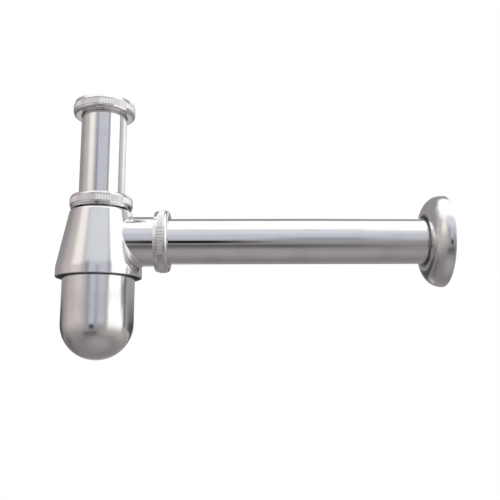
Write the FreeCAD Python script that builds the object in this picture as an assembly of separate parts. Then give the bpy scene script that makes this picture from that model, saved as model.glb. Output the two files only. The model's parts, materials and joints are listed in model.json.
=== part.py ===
# Bottle trap for a washbasin: slip-jointed dip tube, bell body with a branch, screwed bowl, wall tube, flange.
# The inlet nut's mouth is centred on the origin, +Z points up to the basin and +X along the outlet.
# Heights named UP and DOWN are counted from the outlet axis, distances named OUT from the inlet axis.
import FreeCAD, Part
import math
import os
from FreeCAD import Vector

# Driving sizes in millimetres: tubes
TUBE_R = 16.0
TUBE_WALL = 1.0
TUBE_PLAY = 0.4
OUTLET_DROP = 101.5
WALL_OUT = 241.5
TUBE_INTO_WALL = 5.5
OUTLET_INSERT = 14.7
DEPTH_MARK_BACK = 14.0
DEPTH_MARK_WIDTH = 0.8
DEPTH_MARK_DEPTH = 0.2
COLLAR_THICKNESS = 1.5
COLLAR_BEND = 1.2
TUBE_END_CHAMFER = 0.3

# Slip joints: the thread's mean radius stands this far outside the tube, walls lie on either side of it
THREAD_OVER_TUBE = 4.22
THREAD_PLAY = 0.15
THREAD_HALF_DEPTH = 0.74
SOCKET_THREAD = 4.6
SOCKET_RUNOUT = 0.6
SOCKET_EDGE = 0.4
SEAT_FLARE = 2.0
SEAT_DEPTH = 4.0
SEAL_COLLAR = 2.0
SEAL_WEDGE = 3.0
SEAL_PLAY = 0.1
SEAL_GRIP_PLAY = 0.05
SLIP_RING_THICKNESS = 1.2
WASHER_THICKNESS = 2.0

# Slip nuts
NUT_LENGTH = 9.6
NUT_WALL = 1.78
NUT_END_WALL = 1.6
NUT_THREAD = 4.4
NUT_RELIEF_END = 6.2
NUT_POCKET_STEP = 0.3
NUT_PIECE_PLAY = 0.4
NUT_BEVEL = 2.9
NUT_BEVEL_DROP = 0.7
NUT_BAND = 4.0
NUT_BAND_RISE = 0.3
NUT_GROOVE = 0.5
NUT_SHOULDER_ROUND = 2.1
NUT_HOLE_CHAMFER = 0.6

# Bell body
NUT_OVER_BELL = 0.7
BRANCH_RIM_OUT = 44.15
BELL_TOP_UP = 21.7
BELL_SHOULDER = 1.2
BELL_TOP_ROUND = 2.5
BELL_CEILING = 3.0
SKIRT_BEND_DOWN = 19.0
SKIRT_BEND_ROUND = 20.0
SKIRT_LIP = 1.2
SKIRT_EDGE = 0.5
SKIRT_BELOW_SEAT = 3.75
BODY_WALL = 2.25
BRANCH_WALL = 1.0
BRANCH_FILLET = 1.2

# Bowl and its seal
BOWL_R = 24.8
BOWL_WALL = 1.3
BOWL_CENTRE_DOWN = 57.3
BOWL_TOP_DOWN = 16.8
BOWL_THREAD_LENGTH = 5.2
BOWL_THREAD_OUT = 1.6
BOWL_EDGE = 0.4
BOWL_SEAL_WIDTH = 3.3
BOWL_SEAL_HEIGHT = 3.95
BOWL_SEAL_PLAY = 0.3
BOWL_SEAL_ROUND = 0.5
DIP_GAP = 18.1

# Wall flange, pressed from sheet
FLANGE_R = 32.5
FLANGE_DEPTH = 12.85
FLANGE_SHEET = 0.9
FLANGE_PLAY = 0.3
FLANGE_LIP_ROUND = 2.6
FLANGE_DOME_ROUND = 12.8

# Fineness of the drawing: how much of an edge its rounds may take, what counts as the same spot or as lying
# on a surface, and at how many spots an edge is tried
ROUND_SHARE = 0.98
SAME_SPOT = 1e-6
ON_SURFACE = 0.01
EDGE_PROBES = 9

# Sizes that follow from the ones above
THREAD_R = TUBE_R + THREAD_OVER_TUBE
MALE_R = THREAD_R - THREAD_PLAY
FEMALE_R = THREAD_R + THREAD_PLAY
SOCKET_BORE_R = TUBE_R + TUBE_PLAY
SEAT_R = SOCKET_BORE_R + SEAT_FLARE
NUT_POCKET_R = THREAD_R - NUT_POCKET_STEP
PIECE_R = NUT_POCKET_R - NUT_PIECE_PLAY
NUT_FLOOR = NUT_LENGTH - NUT_END_WALL
NUT_OVER_RIM = SEAL_COLLAR + SLIP_RING_THICKNESS - NUT_FLOOR
NECK_RIM_UP = BELL_TOP_UP + NUT_OVER_BELL - NUT_OVER_RIM
BRANCH_R = SOCKET_BORE_R + BRANCH_WALL
BELL_TOP_R = THREAD_R + BELL_SHOULDER
BOWL_INNER_R = BOWL_R - BOWL_WALL
BOWL_MALE_R = BOWL_R + BOWL_THREAD_OUT - THREAD_PLAY
BOWL_FEMALE_R = BOWL_R + BOWL_THREAD_OUT + THREAD_PLAY
BOWL_SEAL_R = BOWL_R + BOWL_SEAL_WIDTH
SKIRT_MOUTH_R = BOWL_SEAL_R + BOWL_SEAL_PLAY
SKIRT_R = SKIRT_MOUTH_R + SKIRT_LIP
SEAT_DOWN = BOWL_TOP_DOWN + BOWL_THREAD_LENGTH
SKIRT_FOOT_DOWN = SEAT_DOWN + SKIRT_BELOW_SEAT
BELL_SLOPE = (SKIRT_R - BELL_TOP_R) / (BELL_TOP_UP + SKIRT_BEND_DOWN)


def bell_radius(up):
    """Outside radius of the bell's straight cone at a height above the outlet axis."""
    return BELL_TOP_R + BELL_SLOPE * (BELL_TOP_UP - up)


def rounded_wire(points):
    """Closed outline in the XZ plane through (radius, height) points; a third number rounds that corner."""
    count = len(points)
    spots = [Vector(point[0], 0, point[1]) for point in points]
    half_angles = []
    wanted = []
    for i, point in enumerate(points):
        radius = point[2] if len(point) > 2 else 0
        to_before = spots[i - 1] - spots[i]
        to_after = spots[(i + 1) % count] - spots[i]
        half_angles.append(to_before.getAngle(to_after) / 2)
        wanted.append(radius / math.tan(half_angles[i]))
    corners = []
    for i, here in enumerate(spots):
        if wanted[i] == 0:
            corners.append((here, None, here))
            continue
        to_before = spots[i - 1] - here
        to_after = spots[(i + 1) % count] - here
        share_before = ROUND_SHARE * to_before.Length / (wanted[i] + wanted[i - 1])
        share_after = ROUND_SHARE * to_after.Length / (wanted[i] + wanted[(i + 1) % count])
        reach = wanted[i] * min(1, share_before, share_after)
        radius = reach * math.tan(half_angles[i])
        to_before.normalize()
        to_after.normalize()
        inward = (to_before + to_after).normalize()
        middle = here + inward * (radius / math.sin(half_angles[i]) - radius)
        corners.append((here + to_before * reach, middle, here + to_after * reach))
    edges = []
    for i, (start, middle, end) in enumerate(corners):
        if middle is not None:
            edges.append(Part.Arc(start, middle, end).toShape())
        next_start = corners[(i + 1) % count][0]
        if (next_start - end).Length > SAME_SPOT:
            edges.append(Part.LineSegment(end, next_start).toShape())
    return Part.Wire(edges)


def turned(points):
    """Solid turned about Z from a closed outline of (radius, height) points."""
    face = Part.Face(rounded_wire(points))
    return face.revolve(Vector(0, 0, 0), Vector(0, 0, 1), 360)


def on_inlet(shape, up):
    """Moves a turned piece along the inlet axis, to a height above the outlet axis."""
    shape.translate(Vector(0, 0, up - OUTLET_DROP))
    return shape


def on_outlet(shape, out):
    """Lays a turned piece along the outlet axis, its own zero at a distance from the inlet axis."""
    shape.rotate(Vector(0, 0, 0), Vector(0, 1, 0), 90)
    shape.translate(Vector(out, 0, -OUTLET_DROP))
    return shape


def slip_nut():
    """Nut, mouth at zero and holed end up: bevel, grooved band, round shoulder, thread and pocket."""
    band_r = THREAD_R + NUT_WALL
    smooth_r = band_r - NUT_BAND_RISE
    groove_r = smooth_r - NUT_GROOVE / 2
    band_end = NUT_BEVEL + NUT_BAND
    hole_r = TUBE_R + TUBE_PLAY
    return turned([
        (FEMALE_R, 0),
        (smooth_r - NUT_BEVEL_DROP, 0),
        (smooth_r, NUT_BEVEL - NUT_GROOVE, NUT_BEVEL),
        (groove_r, NUT_BEVEL - NUT_GROOVE / 2),
        (band_r, NUT_BEVEL),
        (band_r, band_end),
        (groove_r, band_end + NUT_GROOVE / 2),
        (smooth_r, band_end + NUT_GROOVE),
        (smooth_r, NUT_LENGTH, NUT_SHOULDER_ROUND),
        (hole_r, NUT_LENGTH),
        (hole_r, NUT_FLOOR + NUT_HOLE_CHAMFER),
        (hole_r + NUT_HOLE_CHAMFER, NUT_FLOOR),
        (NUT_POCKET_R, NUT_FLOOR),
        (NUT_POCKET_R, NUT_RELIEF_END),
        (THREAD_R + THREAD_HALF_DEPTH, NUT_RELIEF_END),
        (THREAD_R + THREAD_HALF_DEPTH, NUT_THREAD),
        (FEMALE_R, NUT_THREAD),
    ])


def cone_seal():
    """Rubber wedge ring: its collar lies on the socket's rim at zero, its wedge points down into the seat."""
    grip_r = TUBE_R + SEAL_GRIP_PLAY
    wedge_r = SEAT_R - SEAL_PLAY
    tip_r = wedge_r - SEAL_WEDGE * SEAT_FLARE / SEAT_DEPTH
    return turned([
        (grip_r, -SEAL_WEDGE),
        (tip_r, -SEAL_WEDGE),
        (wedge_r, 0),
        (PIECE_R, 0),
        (PIECE_R, SEAL_COLLAR),
        (grip_r, SEAL_COLLAR),
    ])


def slip_ring():
    """Flat plastic ring that lies on the seal's collar, under the nut's floor."""
    return turned([
        (TUBE_R + TUBE_PLAY, SEAL_COLLAR),
        (PIECE_R, SEAL_COLLAR),
        (PIECE_R, SEAL_COLLAR + SLIP_RING_THICKNESS),
        (TUBE_R + TUBE_PLAY, SEAL_COLLAR + SLIP_RING_THICKNESS),
    ])


def socket_outside(length):
    """Outside of a threaded socket whose rim is at zero: thread, run-out, and plain stub for a length."""
    thread_foot = -SOCKET_THREAD
    return [
        (0, 0),
        (MALE_R, 0, SOCKET_EDGE),
        (MALE_R, thread_foot),
        (BRANCH_R, thread_foot - SOCKET_RUNOUT),
        (BRANCH_R, -length),
        (0, -length),
    ]


def socket_bore(length):
    """Bore of a socket whose rim is at zero: the seal's conical seat, then the clear way for the tube."""
    return turned([
        (0, 0),
        (SEAT_R, 0),
        (SOCKET_BORE_R, -SEAT_DEPTH),
        (SOCKET_BORE_R, -length),
        (0, -length),
    ])


def bell():
    """Outside of the bell as one filled solid, heights from the outlet axis."""
    return turned([
        (0, BELL_TOP_UP),
        (BELL_TOP_R, BELL_TOP_UP, BELL_TOP_ROUND),
        (SKIRT_R, -SKIRT_BEND_DOWN, SKIRT_BEND_ROUND),
        (SKIRT_R, -SKIRT_FOOT_DOWN, SKIRT_EDGE),
        (0, -SKIRT_FOOT_DOWN),
    ])


def bell_cavity():
    """Water space of the bell: parallel cone, bowl thread, seal seat and the mouth of the skirt."""
    ceiling_up = BELL_TOP_UP - BELL_CEILING
    thread_top_up = BELL_TOP_UP - (BOWL_FEMALE_R + BODY_WALL - BELL_TOP_R) / BELL_SLOPE
    return turned([
        (0, ceiling_up),
        (bell_radius(ceiling_up) - BODY_WALL, ceiling_up, BELL_TOP_ROUND),
        (BOWL_FEMALE_R, thread_top_up),
        (BOWL_FEMALE_R, -SEAT_DOWN),
        (SKIRT_MOUTH_R, -SEAT_DOWN),
        (SKIRT_MOUTH_R, -SKIRT_FOOT_DOWN),
        (0, -SKIRT_FOOT_DOWN),
    ])


def is_branch_root(edge):
    """True for the curve where the branch's tube meets the bell."""
    if isinstance(edge.Curve, Part.Line):
        return False
    on_tube = all(
        abs(math.hypot(p.y, p.z + OUTLET_DROP) - BRANCH_R) < ON_SURFACE for p in edge.discretize(EDGE_PROBES)
    )
    return on_tube and edge.BoundBox.XMax < BRANCH_RIM_OUT - SOCKET_THREAD - 2 * SOCKET_RUNOUT


def trap_body():
    """Bell, neck and branch in one piece, filleted where the branch leaves the bell, then hollowed."""
    shell = on_inlet(bell(), 0)
    # The seam of the turned bell goes to the back, away from the branch
    shell.rotate(Vector(0, 0, 0), Vector(0, 0, 1), 180)
    neck = on_inlet(turned(socket_outside(NECK_RIM_UP - BELL_TOP_UP + BELL_CEILING / 2)), NECK_RIM_UP)
    branch = on_outlet(turned(socket_outside(BRANCH_RIM_OUT)), BRANCH_RIM_OUT)
    solid = shell.fuse([neck, branch]).removeSplitter()
    solid = solid.makeFillet(BRANCH_FILLET, [e for e in solid.Edges if is_branch_root(e)])
    neck_way = on_inlet(socket_bore(NECK_RIM_UP), NECK_RIM_UP)
    branch_way = on_outlet(socket_bore(BRANCH_RIM_OUT), BRANCH_RIM_OUT)
    return solid.cut([on_inlet(bell_cavity(), 0), neck_way, branch_way])


def bowl():
    """Round-bottomed cup with a threaded collar at its top, the wall turned as two concentric arcs."""
    centre = Vector(0, 0, -BOWL_CENTRE_DOWN)
    diagonal = math.sqrt(0.5)

    def quarter(radius, outward):
        side = centre + Vector(radius, 0, 0)
        middle = centre + Vector(radius * diagonal, 0, -radius * diagonal)
        bottom = centre + Vector(0, 0, -radius)
        return Part.Arc(side, middle, bottom) if outward else Part.Arc(bottom, middle, side)

    points = [
        Vector(BOWL_INNER_R, 0, -BOWL_CENTRE_DOWN),
        Vector(BOWL_INNER_R, 0, -BOWL_TOP_DOWN),
        Vector(BOWL_MALE_R - BOWL_EDGE, 0, -BOWL_TOP_DOWN),
        Vector(BOWL_MALE_R, 0, -BOWL_TOP_DOWN - BOWL_EDGE),
        Vector(BOWL_MALE_R, 0, -SEAT_DOWN),
        Vector(BOWL_R, 0, -SEAT_DOWN),
        Vector(BOWL_R, 0, -BOWL_CENTRE_DOWN),
    ]
    edges = [Part.LineSegment(a, b).toShape() for a, b in zip(points, points[1:])]
    edges.append(quarter(BOWL_R, True).toShape())
    outer_pole = centre - Vector(0, 0, BOWL_R)
    inner_pole = centre - Vector(0, 0, BOWL_INNER_R)
    edges.append(Part.LineSegment(outer_pole, inner_pole).toShape())
    edges.append(quarter(BOWL_INNER_R, False).toShape())
    solid = Part.Face(Part.Wire(edges)).revolve(Vector(0, 0, 0), Vector(0, 0, 1), 360)
    return on_inlet(solid, 0)


def bowl_seal():
    """Black rubber ring round the bowl, under its collar, standing a little out of the skirt's mouth."""
    foot_down = SEAT_DOWN + BOWL_SEAL_HEIGHT
    return on_inlet(turned([
        (BOWL_R + SEAL_GRIP_PLAY, -SEAT_DOWN),
        (BOWL_SEAL_R, -SEAT_DOWN),
        (BOWL_SEAL_R, -foot_down, BOWL_SEAL_ROUND),
        (BOWL_R + SEAL_GRIP_PLAY, -foot_down),
    ]), 0)


def inlet_tube():
    """Dip tube: turned-over collar in the inlet nut, plain tube through the neck, open end in the bowl."""
    collar_foot = OUTLET_DROP - NUT_FLOOR
    collar_top = collar_foot + COLLAR_THICKNESS
    foot = DIP_GAP - BOWL_CENTRE_DOWN - BOWL_INNER_R
    bore_r = TUBE_R - TUBE_WALL
    return on_inlet(turned([
        (bore_r, collar_top, COLLAR_BEND),
        (PIECE_R, collar_top),
        (PIECE_R, collar_foot),
        (TUBE_R, collar_foot),
        (TUBE_R, foot + TUBE_END_CHAMFER),
        (TUBE_R - TUBE_END_CHAMFER, foot),
        (bore_r, foot),
    ]), 0)


def inlet_washer():
    """Flat rubber washer on the dip tube's collar, for the basin waste to press on."""
    foot = OUTLET_DROP - NUT_FLOOR + COLLAR_THICKNESS
    return on_inlet(turned([
        (TUBE_R, foot),
        (PIECE_R, foot),
        (PIECE_R, foot + WASHER_THICKNESS),
        (TUBE_R, foot + WASHER_THICKNESS),
    ]), 0)


def outlet_tube():
    """Wall tube from the branch through the flange, with a turned depth mark behind the flange."""
    start = BRANCH_RIM_OUT - OUTLET_INSERT
    end = WALL_OUT + TUBE_INTO_WALL
    mark = end - DEPTH_MARK_BACK
    mark_r = TUBE_R - DEPTH_MARK_DEPTH
    bore_r = TUBE_R - TUBE_WALL
    return on_outlet(turned([
        (bore_r, start),
        (TUBE_R - TUBE_END_CHAMFER, start),
        (TUBE_R, start + TUBE_END_CHAMFER),
        (TUBE_R, mark - DEPTH_MARK_WIDTH),
        (mark_r, mark - DEPTH_MARK_WIDTH),
        (mark_r, mark),
        (TUBE_R, mark),
        (TUBE_R, end - TUBE_END_CHAMFER),
        (TUBE_R - TUBE_END_CHAMFER, end),
        (bore_r, end),
    ]), 0)


def wall_flange():
    """Domed sheet flange: lip rolled in round the tube, crest, quarter-round dome, rim flat on the wall."""
    hole_r = TUBE_R + FLANGE_PLAY
    crest = WALL_OUT - FLANGE_DEPTH
    lip_end = crest + FLANGE_LIP_ROUND + FLANGE_SHEET
    return on_outlet(turned([
        (hole_r, lip_end),
        (hole_r, crest, FLANGE_LIP_ROUND),
        (FLANGE_R, crest, FLANGE_DOME_ROUND),
        (FLANGE_R, WALL_OUT),
        (FLANGE_R - FLANGE_SHEET, WALL_OUT),
        (FLANGE_R - FLANGE_SHEET, crest + FLANGE_SHEET, FLANGE_DOME_ROUND - FLANGE_SHEET),
        (hole_r + FLANGE_SHEET, crest + FLANGE_SHEET, FLANGE_LIP_ROUND - FLANGE_SHEET),
        (hole_r + FLANGE_SHEET, lip_end),
    ]), 0)


def inlet_nut():
    """The slip nut turned over, mouth up at the origin, its floor under the dip tube's collar."""
    nut = slip_nut()
    nut.rotate(Vector(0, 0, 0), Vector(1, 0, 0), 180)
    return on_inlet(nut, OUTLET_DROP)


PIECES = {
    "inlet_nut": inlet_nut(),
    "inlet_washer": inlet_washer(),
    "inlet_tube": inlet_tube(),
    "body_nut": on_inlet(slip_nut(), NECK_RIM_UP + NUT_OVER_RIM),
    "body_slip_ring": on_inlet(slip_ring(), NECK_RIM_UP),
    "body_cone_seal": on_inlet(cone_seal(), NECK_RIM_UP),
    "trap_body": trap_body(),
    "bowl": bowl(),
    "bowl_seal": bowl_seal(),
    "branch_nut": on_outlet(slip_nut(), BRANCH_RIM_OUT + NUT_OVER_RIM),
    "branch_slip_ring": on_outlet(slip_ring(), BRANCH_RIM_OUT),
    "branch_cone_seal": on_outlet(cone_seal(), BRANCH_RIM_OUT),
    "outlet_tube": outlet_tube(),
    "wall_flange": wall_flange(),
}

os.makedirs("parts", exist_ok=True)
for name, shape in PIECES.items():
    shape.exportStep(f"parts/{name}.step")
    print(f"{name}: {len(shape.Solids)} solid, {shape.Volume / 1000:.2f} cm3, valid {shape.isValid()}")
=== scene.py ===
# %% [markdown]
# # A chromed bottle trap
# This trap hangs under a washbasin. Water falls through the dip tube into the bowl, rises round it into
# the bell and leaves through the branch to the wall. The CAD model fixes every size and every joint. Here
# each piece gets a skin that is smooth enough for mirror chrome, because a mirror shows each flat facet
# of a coarse mesh.

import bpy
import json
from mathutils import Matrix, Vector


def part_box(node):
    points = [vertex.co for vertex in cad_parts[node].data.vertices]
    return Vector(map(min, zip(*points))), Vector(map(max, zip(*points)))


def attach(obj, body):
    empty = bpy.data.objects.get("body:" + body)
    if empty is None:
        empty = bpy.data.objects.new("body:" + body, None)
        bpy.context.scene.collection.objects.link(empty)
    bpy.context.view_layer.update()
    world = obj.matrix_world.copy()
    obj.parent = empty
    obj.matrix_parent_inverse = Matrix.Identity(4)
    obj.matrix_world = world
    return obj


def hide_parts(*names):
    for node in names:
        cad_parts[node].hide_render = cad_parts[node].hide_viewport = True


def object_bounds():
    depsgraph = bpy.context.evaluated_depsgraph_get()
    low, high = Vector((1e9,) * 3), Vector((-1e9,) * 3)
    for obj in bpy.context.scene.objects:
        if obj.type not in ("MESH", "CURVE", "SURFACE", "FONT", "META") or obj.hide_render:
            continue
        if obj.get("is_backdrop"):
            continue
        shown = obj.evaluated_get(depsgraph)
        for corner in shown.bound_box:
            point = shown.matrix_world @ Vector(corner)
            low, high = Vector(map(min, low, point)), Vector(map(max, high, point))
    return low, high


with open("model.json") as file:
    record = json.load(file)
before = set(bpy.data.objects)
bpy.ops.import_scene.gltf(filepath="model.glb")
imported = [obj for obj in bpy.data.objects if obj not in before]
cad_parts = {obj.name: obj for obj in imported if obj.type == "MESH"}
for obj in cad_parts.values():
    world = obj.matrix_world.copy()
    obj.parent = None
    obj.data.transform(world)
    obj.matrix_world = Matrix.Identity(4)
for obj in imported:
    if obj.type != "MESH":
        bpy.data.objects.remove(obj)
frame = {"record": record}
cad_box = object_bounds()
print("CAD box in metres:", [tuple(round(v, 4) for v in corner) for corner in cad_box])

# %% [markdown]
# ## Sizes that come from the frame
# Two pipe axes cross inside the bell: the inlet's upright one and the outlet's level one. Every height
# and distance below is counted from that crossing, in millimetres, so a drawing of one nut serves on both
# axes. Main sizes are measured on the CAD nodes, and only what a box can't tell, such as a wall's
# thickness, is written as a number.

# %% Measure the main sizes
import json
import math
import bmesh
import bpy
import numpy as np
from mathutils import Matrix, Vector

MM = 0.001
X, Y, Z = 0, 1, 2


def corners_of(node):
    """Lowest and highest corner of a CAD node in millimetres, to a hundredth."""
    low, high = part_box(node)
    return np.round(np.array(low) / MM, 2), np.round(np.array(high) / MM, 2)


outlet_low, outlet_high = corners_of("outlet_tube")
crossing = np.array([0.0, 0.0, (outlet_low[Z] + outlet_high[Z]) / 2])
tube_r = (outlet_high[Z] - outlet_low[Z]) / 2


def span(node, axis):
    """Start and end of a CAD node along one axis, counted from the crossing of the pipes."""
    low, high = corners_of(node)
    return low[axis] - crossing[axis], high[axis] - crossing[axis]


print(f"tube radius {tube_r:.2f} mm, outlet axis at {crossing[Z]:.2f} mm")

# %% [markdown]
# ## Profiles: a turner's drawing
# Nearly everything here was turned on a lathe or pressed round, so it starts as half a cross-section. A
# corner is (radius, height), a third number rounds it, and a fourth sets how finely the straight run
# after it is cut. Bevel modifiers could round the corners later, but arcs in the drawing touch both sides
# exactly, and that keeps the mirror lines clean. Each straight run gets a short step at its ends, so
# smooth shading bends only there.

# %% Turn a list of corners into a dense profile
ARC_STEP = math.radians(7.5)
ARC_LENGTH = 0.08
RUN_STEP = 3.0
END_STEP = 0.05
ROUND_SHARE = 0.98
TINY = 1e-9


def straight_run(start, end, step):
    """Points between two ends, both left out: start + t (end - start), t evenly from near 0 to near 1."""
    length = np.linalg.norm(end - start)
    if length < 4 * END_STEP:
        return np.empty((0, 2))
    inset = END_STEP / length
    t = np.linspace(inset, 1 - inset, max(2, math.ceil(length / step) + 1))
    return start + t[:, None] * (end - start)


def corner_arc(centre, start, end):
    """Arc about a centre: the angle runs evenly from the start to the end, the short way round."""
    first = math.atan2(start[1] - centre[1], start[0] - centre[0])
    turn = math.atan2(end[1] - centre[1], end[0] - centre[0]) - first
    turn = (turn + math.pi) % (2 * math.pi) - math.pi
    radius = np.linalg.norm(start - centre)
    steps = min(math.ceil(abs(turn) / ARC_STEP), math.ceil(abs(turn) * radius / ARC_LENGTH))
    angle = first + np.linspace(0, turn, max(2, steps) + 1)
    return centre + radius * np.stack([np.cos(angle), np.sin(angle)], axis=-1)


def outline(corners, closed=True):
    """Profile through (radius, height, round, step) corners; a round is an arc that touches both its sides.

    An arc reaches round / tan(half the corner's angle) along each side, less where two rounds would meet.
    """
    filled = [(tuple(c) + (0.0, RUN_STEP)[len(c) - 2:])[:4] for c in corners]
    spots = np.array([c[:2] for c in filled], float)
    rounds = np.array([c[2] for c in filled], float)
    back = np.roll(spots, 1, axis=0) - spots
    ahead = np.roll(spots, -1, axis=0) - spots
    back_length = np.linalg.norm(back, axis=1)
    ahead_length = np.linalg.norm(ahead, axis=1)
    back /= back_length[:, None]
    ahead /= ahead_length[:, None]
    half = 0.5 * np.arccos(np.clip((back * ahead).sum(1), -1, 1))
    wanted = rounds / np.tan(half)
    room_back = ROUND_SHARE * back_length / np.maximum(wanted + np.roll(wanted, 1), TINY)
    room_ahead = ROUND_SHARE * ahead_length / np.maximum(wanted + np.roll(wanted, -1), TINY)
    reach = wanted * np.minimum(1, np.minimum(room_back, room_ahead))
    inward = back + ahead
    inward /= np.maximum(np.linalg.norm(inward, axis=1), TINY)[:, None]
    centres = spots + inward * (reach / np.maximum(np.cos(half), TINY))[:, None]
    starts = spots + back * reach[:, None]
    ends = spots + ahead * reach[:, None]
    points = []
    for i, corner in enumerate(filled):
        points.append(corner_arc(centres[i], starts[i], ends[i]) if reach[i] > 0 else spots[i:i + 1])
        if closed or i < len(filled) - 1:
            points.append(straight_run(ends[i], starts[(i + 1) % len(filled)], corner[3]))
    return np.concatenate(points)


print("a square with one round corner:", len(outline([(0, 0), (2, 0), (2, 2, 0.5), (0, 2)])), "points")

# %% [markdown]
# ## From a profile to a skin
# A turned skin is a grid: one parameter runs along the profile, the other is the angle. Blender's Screw
# modifier makes the same shape, but a formula also lets the radius ripple, and a screw thread or a knurl
# is just that. Points that meet at a pole or a seam are merged, and edges sharper than a limit stay
# crisp.

# %% Build meshes from grids
SHARP = math.radians(42)
MERGE = 1e-6
CM3_IN_M3 = 1e6
RIPPLE_WITHIN = 0.02
ROUND_COLUMNS = 192


def grid_quads(rows, columns, first, wrap_rows, wrap_columns):
    """Corner numbers of a grid's quads: point (i, j) is first + i * columns + j, and wrapped sides meet."""
    number = first + np.arange(rows * columns).reshape(rows, columns)
    if wrap_rows:
        number = np.vstack([number, number[:1]])
    if wrap_columns:
        number = np.hstack([number, number[:, :1]])
    sides = [number[:-1, :-1], number[:-1, 1:], number[1:, 1:], number[1:, :-1]]
    return np.stack(sides, axis=-1).reshape(-1, 4)


def skin(name, patches):
    """One mesh from grids in millimetres, as (points, wrap rows, wrap columns), placed from the crossing."""
    points, quads, first = [], [], 0
    for grid, wrap_rows, wrap_columns in patches:
        rows, columns = grid.shape[:2]
        points.append(grid.reshape(-1, 3))
        quads.append(grid_quads(rows, columns, first, wrap_rows, wrap_columns))
        first += rows * columns
    mesh = bpy.data.meshes.new(name)
    placed = (np.concatenate(points) + crossing) * MM
    mesh.from_pydata(placed.tolist(), [], np.concatenate(quads).tolist())
    work = bmesh.new()
    work.from_mesh(mesh)
    bmesh.ops.remove_doubles(work, verts=work.verts, dist=MERGE)
    bmesh.ops.recalc_face_normals(work, faces=work.faces)
    open_edges = sum(not edge.is_manifold for edge in work.edges)
    volume = work.calc_volume(signed=True)
    work.to_mesh(mesh)
    work.free()
    mesh.shade_smooth()
    mesh.set_sharp_from_angle(angle=SHARP)
    piece = bpy.data.objects.new(name, mesh)
    bpy.context.scene.collection.objects.link(piece)
    print(f"{name}: {len(mesh.polygons)} faces, {volume * CM3_IN_M3:.2f} cm3, {open_edges} open edges")
    return piece


def carries(profile, base):
    """True for each profile point that lies on the wall of a base radius, as a column."""
    return np.abs(profile[:, :1] - base) < RIPPLE_WITHIN


def ring(profile, angles, ripples=()):
    """Points (r cos a, r sin a, h) of a profile at angles; a ripple (base radius, formula) adds to r."""
    radius = profile[:, :1] + np.zeros(len(angles))
    height = profile[:, 1:] + np.zeros(len(angles))
    for base, formula in ripples:
        radius = radius + carries(profile, base) * formula(height, angles)
    return np.stack([radius * np.cos(angles), radius * np.sin(angles), height], axis=-1)


def laid_out(grid):
    """Lays a grid down along the outlet: its own height becomes X, and its angle runs from Y to Z."""
    return grid[..., [2, 0, 1]]


def turned(name, profile, along_outlet=False, ripples=(), columns=ROUND_COLUMNS, closed=True):
    """Skin of a turned piece: the profile carried all the way round, along the inlet or the outlet."""
    grid = ring(profile, np.arange(columns) * 2 * math.pi / columns, ripples)
    return skin(name, [(laid_out(grid) if along_outlet else grid, closed, True)])


def fit(piece, node, body):
    """Lets a finished piece stand for a CAD node and move with its body."""
    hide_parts(node)
    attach(piece, body)


print("a tube of two rings with three points each has", len(grid_quads(2, 3, 0, False, True)), "quads")

# %% [markdown]
# ## The two tubes
# The dip tube hangs by a collar that was turned over at its top, and its lower end opens inside the bowl.
# The wall tube is plain, with a depth mark turned into it behind the flange. A tube could be a cylinder
# with Solidify, but the drawing also gives the collar, the mark and the broken edges of a sawn end.

# %% Dip tube and wall tube
TUBE_WALL = 1.0
SAWN_EDGE = 0.3
COLLAR_THICKNESS = 1.5
COLLAR_BEND = 1.2
EDGE = 0.15
DEPTH_MARK_BACK = 14.0
DEPTH_MARK_WIDTH = 0.8
DEPTH_MARK_DEPTH = 0.2
bore_r = tube_r - TUBE_WALL
collar_r = span("inlet_tube", X)[1]
dip_foot, collar_top = span("inlet_tube", Z)
collar_foot = collar_top - COLLAR_THICKNESS

dip_tube = turned("dip_tube_skin", outline([
    (bore_r, dip_foot, EDGE),
    (tube_r - SAWN_EDGE, dip_foot),
    (tube_r, dip_foot + SAWN_EDGE),
    (tube_r, collar_foot, EDGE),
    (collar_r, collar_foot, EDGE),
    (collar_r, collar_top, EDGE),
    (bore_r, collar_top, COLLAR_BEND),
]))
fit(dip_tube, "inlet_tube", "inlet")

tube_start, tube_end = span("outlet_tube", X)
mark = tube_end - DEPTH_MARK_BACK
mark_r = tube_r - DEPTH_MARK_DEPTH
wall_tube = turned("wall_tube_skin", outline([
    (bore_r, tube_end, EDGE),
    (bore_r, tube_start, EDGE),
    (tube_r - SAWN_EDGE, tube_start),
    (tube_r, tube_start + SAWN_EDGE),
    (tube_r, mark - DEPTH_MARK_WIDTH),
    (mark_r, mark - DEPTH_MARK_WIDTH),
    (mark_r, mark),
    (tube_r, mark),
    (tube_r, tube_end - SAWN_EDGE),
    (tube_r - SAWN_EDGE, tube_end),
]), along_outlet=True)
fit(wall_tube, "outlet_tube", "outlet_tube")

# %% [markdown]
# ## Screw threads
# The nuts and the bowl are screwed on, and the record couples each turn to a rise. That lead gives the
# thread. A thread is a wave on a wall that climbs one lead a turn. Male and female wall carry the same
# wave, a small play apart, so they mesh at rest and stay in mesh at every turn. Modelling a helix as its
# own strip would also work, but it would have to be joined to the wall.

# %% Thread formula and leads
THREAD_OVER_TUBE = 4.22
THREAD_PLAY = 0.15
THREAD_DEPTH = 0.5
BOWL_THREAD_DEPTH = 0.4
THREAD_STEP = 0.2
FADES_IN_LEAD = 3
thread_r = tube_r + THREAD_OVER_TUBE
male_r = thread_r - THREAD_PLAY
female_r = thread_r + THREAD_PLAY


def lead_of(slide):
    """Millimetres that a coupled slide moves in one full turn of what it follows."""
    couplings = frame["record"]["behaviour"]["couplings"]
    ratio = next(row["ratio"] for row in couplings if row["joint"] == slide)
    return ratio * 2 * math.pi / MM


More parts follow.
